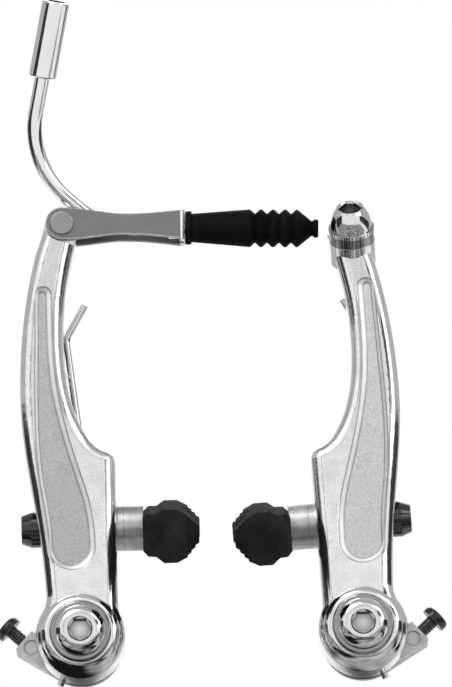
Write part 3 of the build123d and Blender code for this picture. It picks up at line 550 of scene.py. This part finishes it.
def finishes(context):
    """The brake's materials by name, made once."""
    if FINISHES:
        return FINISHES
    settings = context.scene.brake_finish
    made = (
        *(buffed_alloy(settings, side) for side in SIDES),
        metal(
            "folded_link", tuple(settings.link), rough=0.42, scale=2600.0, relief=0.07, vary=0.05, wear_and_sheen=0.8,
            highlight_from=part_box("link")[1][0] - LINK_HIGHLIGHT_END,
        ),
        metal("rivet_steel", (0.3, 0.3, 0.305), rough=0.36, scale=2600.0, vary=0.05, wear_and_sheen=0.7),
        metal("plated_tube", (0.8, 0.8, 0.805), rough=0.1, scale=500.0, relief=0.02, vary=0.04),
        metal("bright_head", (0.74, 0.74, 0.745), rough=0.11, relief=0.04, vary=0.08, reach=3.0 * MM),
        metal("dark_steel", (0.3, 0.3, 0.305), rough=0.14, scale=1200.0, relief=0.06),
        metal("satin_steel", (0.6, 0.6, 0.61), rough=0.26, scale=1200.0, relief=0.06),
        metal("zinc_plate", (0.54, 0.54, 0.55), rough=0.36, scale=1500.0, relief=0.16, vary=0.3),
        metal("cast_plate", (0.5, 0.5, 0.505), rough=0.4, scale=1100.0, relief=0.2, vary=0.16),
        metal("drawn_wire", (0.62, 0.62, 0.63), rough=0.12, scale=1500.0, stretch=(1.0, 1.0, 0.1)),
        dark_paint("blackened_screw", (0.012, 0.012, 0.013), rough=0.26, coat=0.25, mirror=0.25),
        dark_paint("lacquered_nut", (0.005, 0.005, 0.006), rough=0.12, coat=0.5),
        dark_paint("guide_lining", (0.05, 0.05, 0.052), rough=0.5, coat=0.0),
        moulded_rubber("moulded_rubber", shade(settings.rubber, 0.95), rough=0.62, fold=8.0 * MM),
        moulded_rubber("pad_rubber", shade(settings.rubber, 2.8), rough=0.78, fold=1.2 * MM),
    )
    FINISHES.update((material.name, material) for material in made)
    return FINISHES


def finish_nodes(context, finish, *names):
    """Give solids of the frame a finish."""
    material = finishes(context)[finish]
    for name in names:
        mesh = NODES[name].data
        if not mesh.materials:
            mesh.materials.append(material)
        for slot in NODES[name].material_slots:
            slot.material = material


def both(name):
    """A piece's node on each side."""
    return [f"{side}_{name}" for side in SIDES]


def new_piece(name, mesh, material):
    """Object for a finished mesh, at the origin."""
    piece = bpy.data.objects.new(name, mesh)
    bpy.context.scene.collection.objects.link(piece)
    mesh.materials.clear()
    mesh.materials.append(material)
    return piece


def smooth_faces(mesh, angle):
    """Shade a mesh smooth, with the edges over an angle, in degrees, kept sharp."""
    mesh.polygons.foreach_set("use_smooth", [True] * len(mesh.polygons))
    mesh.set_sharp_from_angle(angle=radians(angle))


def merged_copy(node, name, material):
    """Joined-up copy of a solid's mesh as a piece of its own."""
    mesh = NODES[node].data.copy()
    mesh.name = name
    if "custom_normal" in mesh.attributes:
        mesh.attributes.remove(mesh.attributes["custom_normal"])
    work = bmesh.new()
    work.from_mesh(mesh)
    bmesh.ops.remove_doubles(work, verts=work.verts, dist=JOIN_GAP)
    bmesh.ops.dissolve_limit(work, angle_limit=FLAT_ANGLE, verts=work.verts, edges=work.edges)
    work.to_mesh(mesh)
    work.free()
    return new_piece(name, mesh, material)


def settle(piece):
    """Turn a piece with modifiers into a plain mesh."""
    depsgraph = bpy.context.evaluated_depsgraph_get()
    mesh = bpy.data.meshes.new_from_object(piece.evaluated_get(depsgraph), depsgraph=depsgraph)
    old = piece.data
    piece.modifiers.clear()
    piece.data = mesh
    bpy.data.meshes.remove(old)
    mesh.name = piece.name
    return piece


def new_tree(name, inputs):
    """Geometry node tree with an output and the named inputs; returns the tree and its input node."""
    tree = bpy.data.node_groups.new(name, "GeometryNodeTree")
    for label, kind in inputs:
        tree.interface.new_socket(label, in_out="INPUT", socket_type=kind)
    tree.interface.new_socket("Geometry", in_out="OUTPUT", socket_type="NodeSocketGeometry")
    return tree, tree.nodes.new("NodeGroupInput")


def end_tree(tree, source, geometry):
    """Set the geometry in its place as a plain mesh with its material, and hand it out."""
    placed = put(tree, "GeometryNodeTransform", {
        "Geometry": geometry, "Translation": source.outputs["Place"], "Rotation": source.outputs["Turn"],
    })
    plain = put(tree, "GeometryNodeRealizeInstances", {"Geometry": placed.outputs["Geometry"]})
    painted = put(tree, "GeometryNodeSetMaterial", {
        "Geometry": plain.outputs["Geometry"], "Material": source.outputs["Material"],
    })
    output = tree.nodes.new("NodeGroupOutput")
    tree.links.new(painted.outputs["Geometry"], output.inputs["Geometry"])


def thread_tree():
    """Thread: a ridge that winds up a core."""
    tree, source = new_tree("screw_thread", (
        ("Turns", "NodeSocketFloat"), ("Pitch", "NodeSocketFloat"), ("Core", "NodeSocketFloat"),
        ("Ridge", "NodeSocketFloat"), ("Place", "NodeSocketVector"), ("Turn", "NodeSocketRotation"),
        ("Material", "NodeSocketMaterial"),
    ))
    height = sums(tree, "MULTIPLY", source.outputs["Turns"], source.outputs["Pitch"])
    spiral = put(tree, "GeometryNodeCurveSpiral", {
        "Resolution": THREAD_STEPS, "Rotations": source.outputs["Turns"], "Height": height,
        "Start Radius": source.outputs["Core"], "End Radius": source.outputs["Core"],
    })
    profile = put(tree, "GeometryNodeCurvePrimitiveCircle", {
        "Resolution": THREAD_SIDES, "Radius": source.outputs["Ridge"],
    })
    ridge = put(tree, "GeometryNodeCurveToMesh", {
        "Curve": spiral.outputs["Curve"], "Profile Curve": profile.outputs["Curve"], "Fill Caps": True,
    })
    end_tree(tree, source, ridge.outputs["Mesh"])
    return tree


def knurl_tree():
    """Knurl: small ridges in a ring."""
    tree, source = new_tree("flange_knurl", (
        ("Count", "NodeSocketInt"), ("Radius", "NodeSocketFloat"), ("Size", "NodeSocketVector"),
        ("Place", "NodeSocketVector"), ("Turn", "NodeSocketRotation"), ("Material", "NodeSocketMaterial"),
    ))
    ring = put(tree, "GeometryNodeMeshCircle", {
        "Vertices": source.outputs["Count"], "Radius": source.outputs["Radius"],
    })
    ridge = put(tree, "GeometryNodeMeshCube", {"Size": source.outputs["Size"]})
    outwards = put(tree, "FunctionNodeAlignRotationToVector", {
        "Vector": tree.nodes.new("GeometryNodeInputPosition").outputs["Position"],
    }, axis="X")
    ridges = put(tree, "GeometryNodeInstanceOnPoints", {
        "Points": ring.outputs["Mesh"], "Instance": ridge.outputs["Mesh"],
        "Rotation": outwards.outputs["Rotation"],
    })
    end_tree(tree, source, ridges.outputs["Instances"])
    return tree


def grow(name, tree, values):
    """Make a piece from a geometry tree with the values of its named inputs."""
    piece = new_piece(name, bpy.data.meshes.new(name + "_seed"), values["Material"])
    modifier = piece.modifiers.new("grow", "NODES")
    modifier.node_group = tree
    sockets = {item.name: item.identifier for item in tree.interface.items_tree if item.in_out == "INPUT"}
    for label, value in values.items():
        modifier[sockets[label]] = value
    return settle(piece)


class BRAKE_OT_arms(Operator):
    """Polish the arms and blast the floor of their pockets"""

    bl_idname = "brake.arms"
    bl_label = "Arms"

    def execute(self, context):
        for side in SIDES:
            finish_nodes(context, f"{side}_buffed_alloy", f"{side}_arm")
        return {"FINISHED"}


class BRAKE_OT_pivots(Operator):
    """Finish the bushes, pivot bolts, washers and spring plates"""

    bl_idname = "brake.pivots"
    bl_label = "Pivots"

    def execute(self, context):
        finish_nodes(context, "satin_steel", *both("bush"), *both("spring_peg"))
        finish_nodes(context, "dark_steel", *both("pivot_washer"))
        finish_nodes(context, "bright_head", *both("pivot_bolt"))
        finish_nodes(context, "cast_plate", *both("spring_plate"))
        return {"FINISHED"}


class BRAKE_OT_springs(Operator):
    """Make the return springs as smooth wire between the frame and the arm"""

    bl_idname = "brake.springs"
    bl_label = "Return springs"

    def execute(self, context):
        wire = finishes(context)["drawn_wire"]
        for side in SIDES:
            piece = merged_copy(f"{side}_spring", f"{side}_return_spring", wire)
            smooth_faces(piece.data, angle=40)
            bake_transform(piece)
            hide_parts(f"{side}_spring")
        return {"FINISHED"}


class BRAKE_OT_tension_screws(Operator):
    """Blacken the spring tension screws and cut their threads"""

    bl_idname = "brake.tension_screws"
    bl_label = "Tension screws"

    def execute(self, context):
        detail = context.scene.brake_detail
        finish_nodes(context, "blackened_screw", *both("tension_screw"))
        tree = thread_tree()
        for joint in frame["joints"]:
            if joint["type"] != "slide":
                continue
            body = joint["child"]
            side = body.split("_")[0]
            out = Vector(joint["axis"])
            points = [v.co for v in NODES[f"{side}_tension_screw"].data.vertices]
            reach = [p.dot(out) for p in points]
            tip = [p for p, r in zip(points, reach) if r < min(reach) + SCREW_TIP]
            tip_centre = sum(tip, Vector()) / len(tip)
            core = max((p - tip_centre - out * (p - tip_centre).dot(out)).length for p in tip)
            start = tip_centre + out * THREAD_START
            piece = grow(f"{side}_screw_thread", tree, {
                "Turns": THREAD_TURNS, "Pitch": detail.thread_pitch, "Core": core,
                "Ridge": detail.thread_ridge,
                "Place": start, "Turn": out.to_track_quat("Z", "Y").to_euler(),
                "Material": finishes(context)["blackened_screw"],
            })
            smooth_faces(piece.data, angle=50)
            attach(piece, body)
        return {"FINISHED"}


class BRAKE_OT_pads(Operator):
    """Mould the pads with soft edges and finish their washers and nuts"""

    bl_idname = "brake.pads"
    bl_label = "Pads"

    def execute(self, context):
        detail = context.scene.brake_detail
        rubber = finishes(context)["pad_rubber"]
        for side in SIDES:
            piece = merged_copy(f"{side}_pad", f"{side}_pad_block", rubber)
            edge = piece.modifiers.new("edge", "BEVEL")
            edge.width = detail.pad_edge
            edge.segments = PAD_EDGE_STEPS
            edge.limit_method = "ANGLE"
            edge.angle_limit = PAD_EDGE_ANGLE
            settle(piece)
            smooth_faces(piece.data, angle=38)
            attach(piece, f"{side}_arm_body")
            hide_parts(f"{side}_pad")
        finish_nodes(context, "satin_steel", *both("pad_stud"))
        for washer in ("inner_cup_washer", "inner_dome_washer", "outer_cup_washer", "outer_dome_washer"):
            finish_nodes(context, "zinc_plate", *both(washer))
        finish_nodes(context, "lacquered_nut", *both("pad_nut"))
        return {"FINISHED"}


class BRAKE_OT_link(Operator):
    """Finish the link and its rivet"""

    bl_idname = "brake.link"
    bl_label = "Link"

    def execute(self, context):
        finish_nodes(context, "folded_link", "link")
        finish_nodes(context, "rivet_steel", "link_rivet")
        return {"FINISHED"}


class BRAKE_OT_guide(Operator):
    """Plate the curved cable guide and its ferrule"""

    bl_idname = "brake.guide"
    bl_label = "Cable guide"

    def execute(self, context):
        finish_nodes(context, "plated_tube", "guide_tube", "guide_ferrule")
        finish_nodes(context, "guide_lining", "guide_liner")
        return {"FINISHED"}


def arc(along, out, radius, start, end, steps=4):
    """Points round a centre, in millimetres, from one angle to another, in degrees."""
    turns = [radians(start + (end - start) * i / steps) for i in range(steps + 1)]
    return [(along + radius * cos(turn), out + radius * sin(turn)) for turn in turns]


def boot_profile(fold_points):
    """Outer and inner outline of the boot, along its axis and out from it, in millimetres."""
    collar_end, collar_radius, collar_edge = 1.6, 4.1, 0.4
    sleeve_end, sleeve_radius, sleeve_taper, sleeve_steps = 15.64, 3.5, 1.08, 10
    shoulder = 0.4
    folds, pitch, peak, valley, sharpness = 4, 2.95, 4.65, 3.6, 0.75
    crest = ((0.3, 0.2), (0.6, 0.45))
    neck, neck_radius, neck_round = 3.62, 1.85, 0.4
    tip_length, tip_band, tip_radius, tip_edge = 5.2, 0.8, 2.25, 0.45
    bore_start, bore, wide_bore = 3.4, 0.8, 3.0
    hollow_start, hollow, grip_end, grip = 10.0, 2.6, 7.8, 1.9

    outer = arc(collar_edge, collar_radius - collar_edge, collar_edge, 180, 90)
    outer += arc(collar_end - collar_edge, collar_radius - collar_edge, collar_edge, 90, 0)
    sleeve_length = sleeve_end - collar_end - shoulder
    for i in range(sleeve_steps + 1):
        share = i / sleeve_steps
        outer.append((collar_end + sleeve_length * share, sleeve_radius + sleeve_taper * share))
    for fold in range(folds):
        for i in range(fold_points + 1):
            lift = (0.5 + 0.5 * cos(2 * pi * i / fold_points)) ** sharpness
            outer.append((sleeve_end + pitch * (fold + i / fold_points), valley + (peak - valley) * lift))
    nose = sleeve_end + folds * pitch
    tip = nose + tip_length
    outer += [(nose + along, peak - down) for along, down in crest]
    outer += arc(nose + neck, neck_radius + neck_round, neck_round, -135, -45)
    outer += arc(tip - tip_band, tip_radius - tip_edge, tip_edge, 150, 90)
    outer += arc(tip - tip_edge, tip_radius - tip_edge, tip_edge, 90, 0)
    inner = [(tip, bore), (nose + bore_start, bore), (nose, wide_bore)]
    inner += [(hollow_start, hollow), (grip_end, grip), (0, grip)]
    return outer + inner


class BRAKE_OT_boot(Operator):
    """Mould the rubber boot with its rounded folds"""

    bl_idname = "brake.boot"
    bl_label = "Rubber boot"

    def execute(self, context):
        detail = context.scene.brake_detail
        joint = next(j for j in frame["joints"] if j["name"] == "guide_swivel")
        axis = Vector(joint["axis"])
        start = Vector(joint["pos_m"]) + axis * BOOT_START
        turn = axis.to_track_quat("Z", "Y").to_matrix().to_4x4()
        work = bmesh.new()
        ring = [work.verts.new((r * MM, 0, s * MM)) for s, r in boot_profile(detail.fold_points)]
        edges = [work.edges.new((a, b)) for a, b in zip(ring, ring[1:] + ring[:1])]
        bmesh.ops.spin(
            work, geom=ring + edges, cent=(0, 0, 0), axis=(0, 0, 1), angle=2 * pi, steps=BOOT_STEPS,
            use_duplicate=False,
        )
        bmesh.ops.remove_doubles(work, verts=work.verts, dist=BOOT_JOIN_GAP)
        bmesh.ops.recalc_face_normals(work, faces=work.faces)
        mesh = bpy.data.meshes.new("cable_boot")
        work.to_mesh(mesh)
        work.free()
        mesh.transform(Matrix.Translation(start) @ turn)
        piece = new_piece("cable_boot", mesh, finishes(context)["moulded_rubber"])
        smooth_faces(mesh, angle=45)
        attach(piece, "link_body")
        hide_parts("boot")
        return {"FINISHED"}


class BRAKE_OT_anchor(Operator):
    """Finish the cable anchor and knurl its flange"""

    bl_idname = "brake.anchor"
    bl_label = "Cable anchor"

    def execute(self, context):
        detail = context.scene.brake_detail
        finish_nodes(context, "bright_head", "anchor_bolt")
        finish_nodes(context, "dark_steel", "anchor_washer")
        level = cos(ANCHOR_TILT)
        axis = Vector((-level * sin(RIGHT_LEAN), -sin(ANCHOR_TILT), level * cos(RIGHT_LEAN)))
        low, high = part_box("anchor_washer")
        flange = (low + high) / 2 + axis * KNURL_RISE
        ridge = Vector((2 * detail.knurl_height, KNURL_WIDTH, KNURL_LENGTH))
        piece = grow("anchor_knurl", knurl_tree(), {
            "Count": detail.knurl_count, "Radius": KNURL_RADIUS, "Size": ridge,
            "Place": flange, "Turn": axis.to_track_quat("Z", "Y").to_euler(),
            "Material": finishes(context)["bright_head"],
        })
        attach(piece, "right_arm_body")
        return {"FINISHED"}


def stage_plane(name, centre, facing, width, height, material):
    """Flat sheet of the studio, upright where it can be, that faces a direction."""
    mesh = bpy.data.meshes.new(name)
    w, h = width / 2, height / 2
    mesh.from_pydata([(-w, -h, 0), (w, -h, 0), (w, h, 0), (-w, h, 0)], [], [(0, 1, 2, 3)])
    sheet = bpy.data.objects.new(name, mesh)
    bpy.context.scene.collection.objects.link(sheet)
    mesh.materials.append(material)
    turn = Vector(facing).to_track_quat("Z", "Y").to_matrix().to_4x4()
    sheet.matrix_world = Matrix.Translation(centre) @ turn
    return sheet


def glow(name, low, high, scale=22.0, edge=0.15):
    """Uneven grey for a studio card; a small edge makes its clouds hard."""
    material, tree = empty_material(name)
    cloud = noise(tree, place_of(tree), scale, detail=2.0)
    share = spread(tree, cloud, (0.5 - edge, 0.5 + edge), smooth=True)
    colour = blend_colours(tree, share, (low, low, low), (high, high, high))
    light = put(tree, "ShaderNodeEmission", {"Color": colour, "Strength": 1.0})
    output = tree.nodes.new("ShaderNodeOutputMaterial")
    tree.links.new(light.outputs["Emission"], output.inputs["Surface"])
    return material


class BRAKE_OT_stage(Operator):
    """Set the camera, the room, the floor and the studio cards"""

    bl_idname = "brake.stage"
    bl_label = "Studio"

    def camera(self, scene, settings):
        """Long lens that looks up at the brake from the front."""
        elevation = settings.camera_elevation
        look = Vector((0, cos(elevation), -sin(elevation)))
        data = bpy.data.cameras.new("picture_camera")
        data.sensor_fit = "VERTICAL"
        data.sensor_height = SENSOR_HEIGHT
        data.lens = settings.focal_length
        data.clip_end = CAMERA_REACH
        camera = bpy.data.objects.new("picture_camera", data)
        scene.collection.objects.link(camera)
        turn = look.to_track_quat("-Z", "Y").to_matrix().to_4x4()
        roll = Matrix.Rotation(-settings.camera_roll, 4, "Z")
        place = Matrix.Translation(CAMERA_TARGET - look * settings.camera_distance)
        camera.matrix_world = place @ turn @ roll
        scene.camera = camera

    def room(self, scene, settings):
        """Even light from all round and a white background."""
        world = bpy.data.worlds.new("studio_room")
        world.use_nodes = True
        scene.world = world
        tree = world.node_tree
        tree.nodes.clear()
        seen = seen_rays(tree)
        lit = put(tree, "ShaderNodeBackground", {"Color": (1, 1, 1, 1), "Strength": settings.world_light})
        white = put(tree, "ShaderNodeBackground", {"Color": (1, 1, 1, 1), "Strength": 1.0})
        mixed = put(tree, "ShaderNodeMixShader", {0: seen, 1: lit.outputs[0], 2: white.outputs[0]})
        output = tree.nodes.new("ShaderNodeOutputWorld")
        tree.links.new(mixed.outputs[0], output.inputs["Surface"])

    def floor(self):
        """White floor that is clear from below and fades out into the background."""
        material, tree, shader = start_finish("studio_floor")
        grain = noise(tree, place_of(tree), scale=30.0)
        tree.links.new(blend_colours(tree, grain, *FLOOR_GREYS), shader.inputs["Base Color"])
        shader.inputs["Roughness"].default_value = 0.7
        behind = put(tree, "ShaderNodeNewGeometry").outputs["Backfacing"]
        away = put(tree, "ShaderNodeVectorMath", {0: place_of(tree)}, operation="LENGTH").outputs["Value"]
        faded = sums(tree, "MULTIPLY", seen_rays(tree), spread(tree, away, FLOOR_FADE, smooth=True))
        hidden = sums(tree, "MAXIMUM", behind, faded)
        clear = put(tree, "ShaderNodeBsdfTransparent").outputs[0]
        mixed = put(tree, "ShaderNodeMixShader", {0: hidden, 1: shader.outputs[0], 2: clear})
        output = next(n for n in tree.nodes if n.type == "OUTPUT_MATERIAL")
        tree.links.new(mixed.outputs[0], output.inputs["Surface"])
        low = CAD_BOX[0][2] - FLOOR_GAP
        stage_plane("studio_floor", (0, 0, low), UPWARDS, FLOOR_SIZE, FLOOR_SIZE, material)

    def cards(self):
        """Grey cards that only the metal's reflections see."""
        tones = {tone[0]: glow(*tone) for tone in CARD_TONES}
        for name, tone, centre, facing, width, height in CARDS:
            card = stage_plane(name, centre, facing, width, height, tones[tone])
            card.visible_camera = False
            card.visible_diffuse = False
            card.visible_shadow = False
            card.visible_transmission = False

    def lamps(self, scene):
        """Large soft lamps at the front, the side and the back."""
        for name, place, size, power in LAMPS:
            data = bpy.data.lights.new(name, "AREA")
            data.size = size
            data.energy = power
            lamp = bpy.data.objects.new(name, data)
            scene.collection.objects.link(lamp)
            aim = (LAMP_AIM - Vector(place)).to_track_quat("-Z", "Y")
            lamp.matrix_world = Matrix.Translation(place) @ aim.to_matrix().to_4x4()

    def execute(self, context):
        scene = context.scene
        settings = scene.brake_stage
        scene.view_settings.view_transform = "Standard"
        self.camera(scene, settings)
        self.room(scene, settings)
        self.floor()
        self.cards()
        self.lamps(scene)
        return {"FINISHED"}


OPERATORS = (
    BRAKE_OT_arms,
    BRAKE_OT_pivots,
    BRAKE_OT_springs,
    BRAKE_OT_tension_screws,
    BRAKE_OT_pads,
    BRAKE_OT_link,
    BRAKE_OT_guide,
    BRAKE_OT_boot,
    BRAKE_OT_anchor,
    BRAKE_OT_stage,
)


class BRAKE_PT_panel(Panel):
    """Lists the brake's settings and steps"""

    bl_idname = "BRAKE_PT_panel"
    bl_label = "Linear-pull brake"
    bl_space_type = "VIEW_3D"
    bl_region_type = "UI"
    bl_category = "Brake"

    def draw(self, context):
        layout = self.layout
        scene = context.scene
        for group in (scene.brake_finish, scene.brake_detail, scene.brake_stage):
            box = layout.box()
            for name in group.__annotations__:
                box.prop(group, name)
        for operator in OPERATORS:
            layout.operator(operator.bl_idname)


CLASSES = (FinishSettings, DetailSettings, StageSettings, *OPERATORS, BRAKE_PT_panel)


def register():
    """Add the brake's settings and steps."""
    for cls in CLASSES:
        bpy.utils.register_class(cls)
    bpy.types.Scene.brake_finish = PointerProperty(type=FinishSettings)
    bpy.types.Scene.brake_detail = PointerProperty(type=DetailSettings)
    bpy.types.Scene.brake_stage = PointerProperty(type=StageSettings)


def unregister():
    """Take the brake's settings and steps away."""
    del bpy.types.Scene.brake_stage
    del bpy.types.Scene.brake_detail
    del bpy.types.Scene.brake_finish
    for cls in reversed(CLASSES):
        bpy.utils.unregister_class(cls)


def main():
    """Run every step."""
    register()
    for operator in OPERATORS:
        group, name = operator.bl_idname.split(".")
        getattr(getattr(bpy.ops, group), name)()


if __name__ == "__main__":
    main()
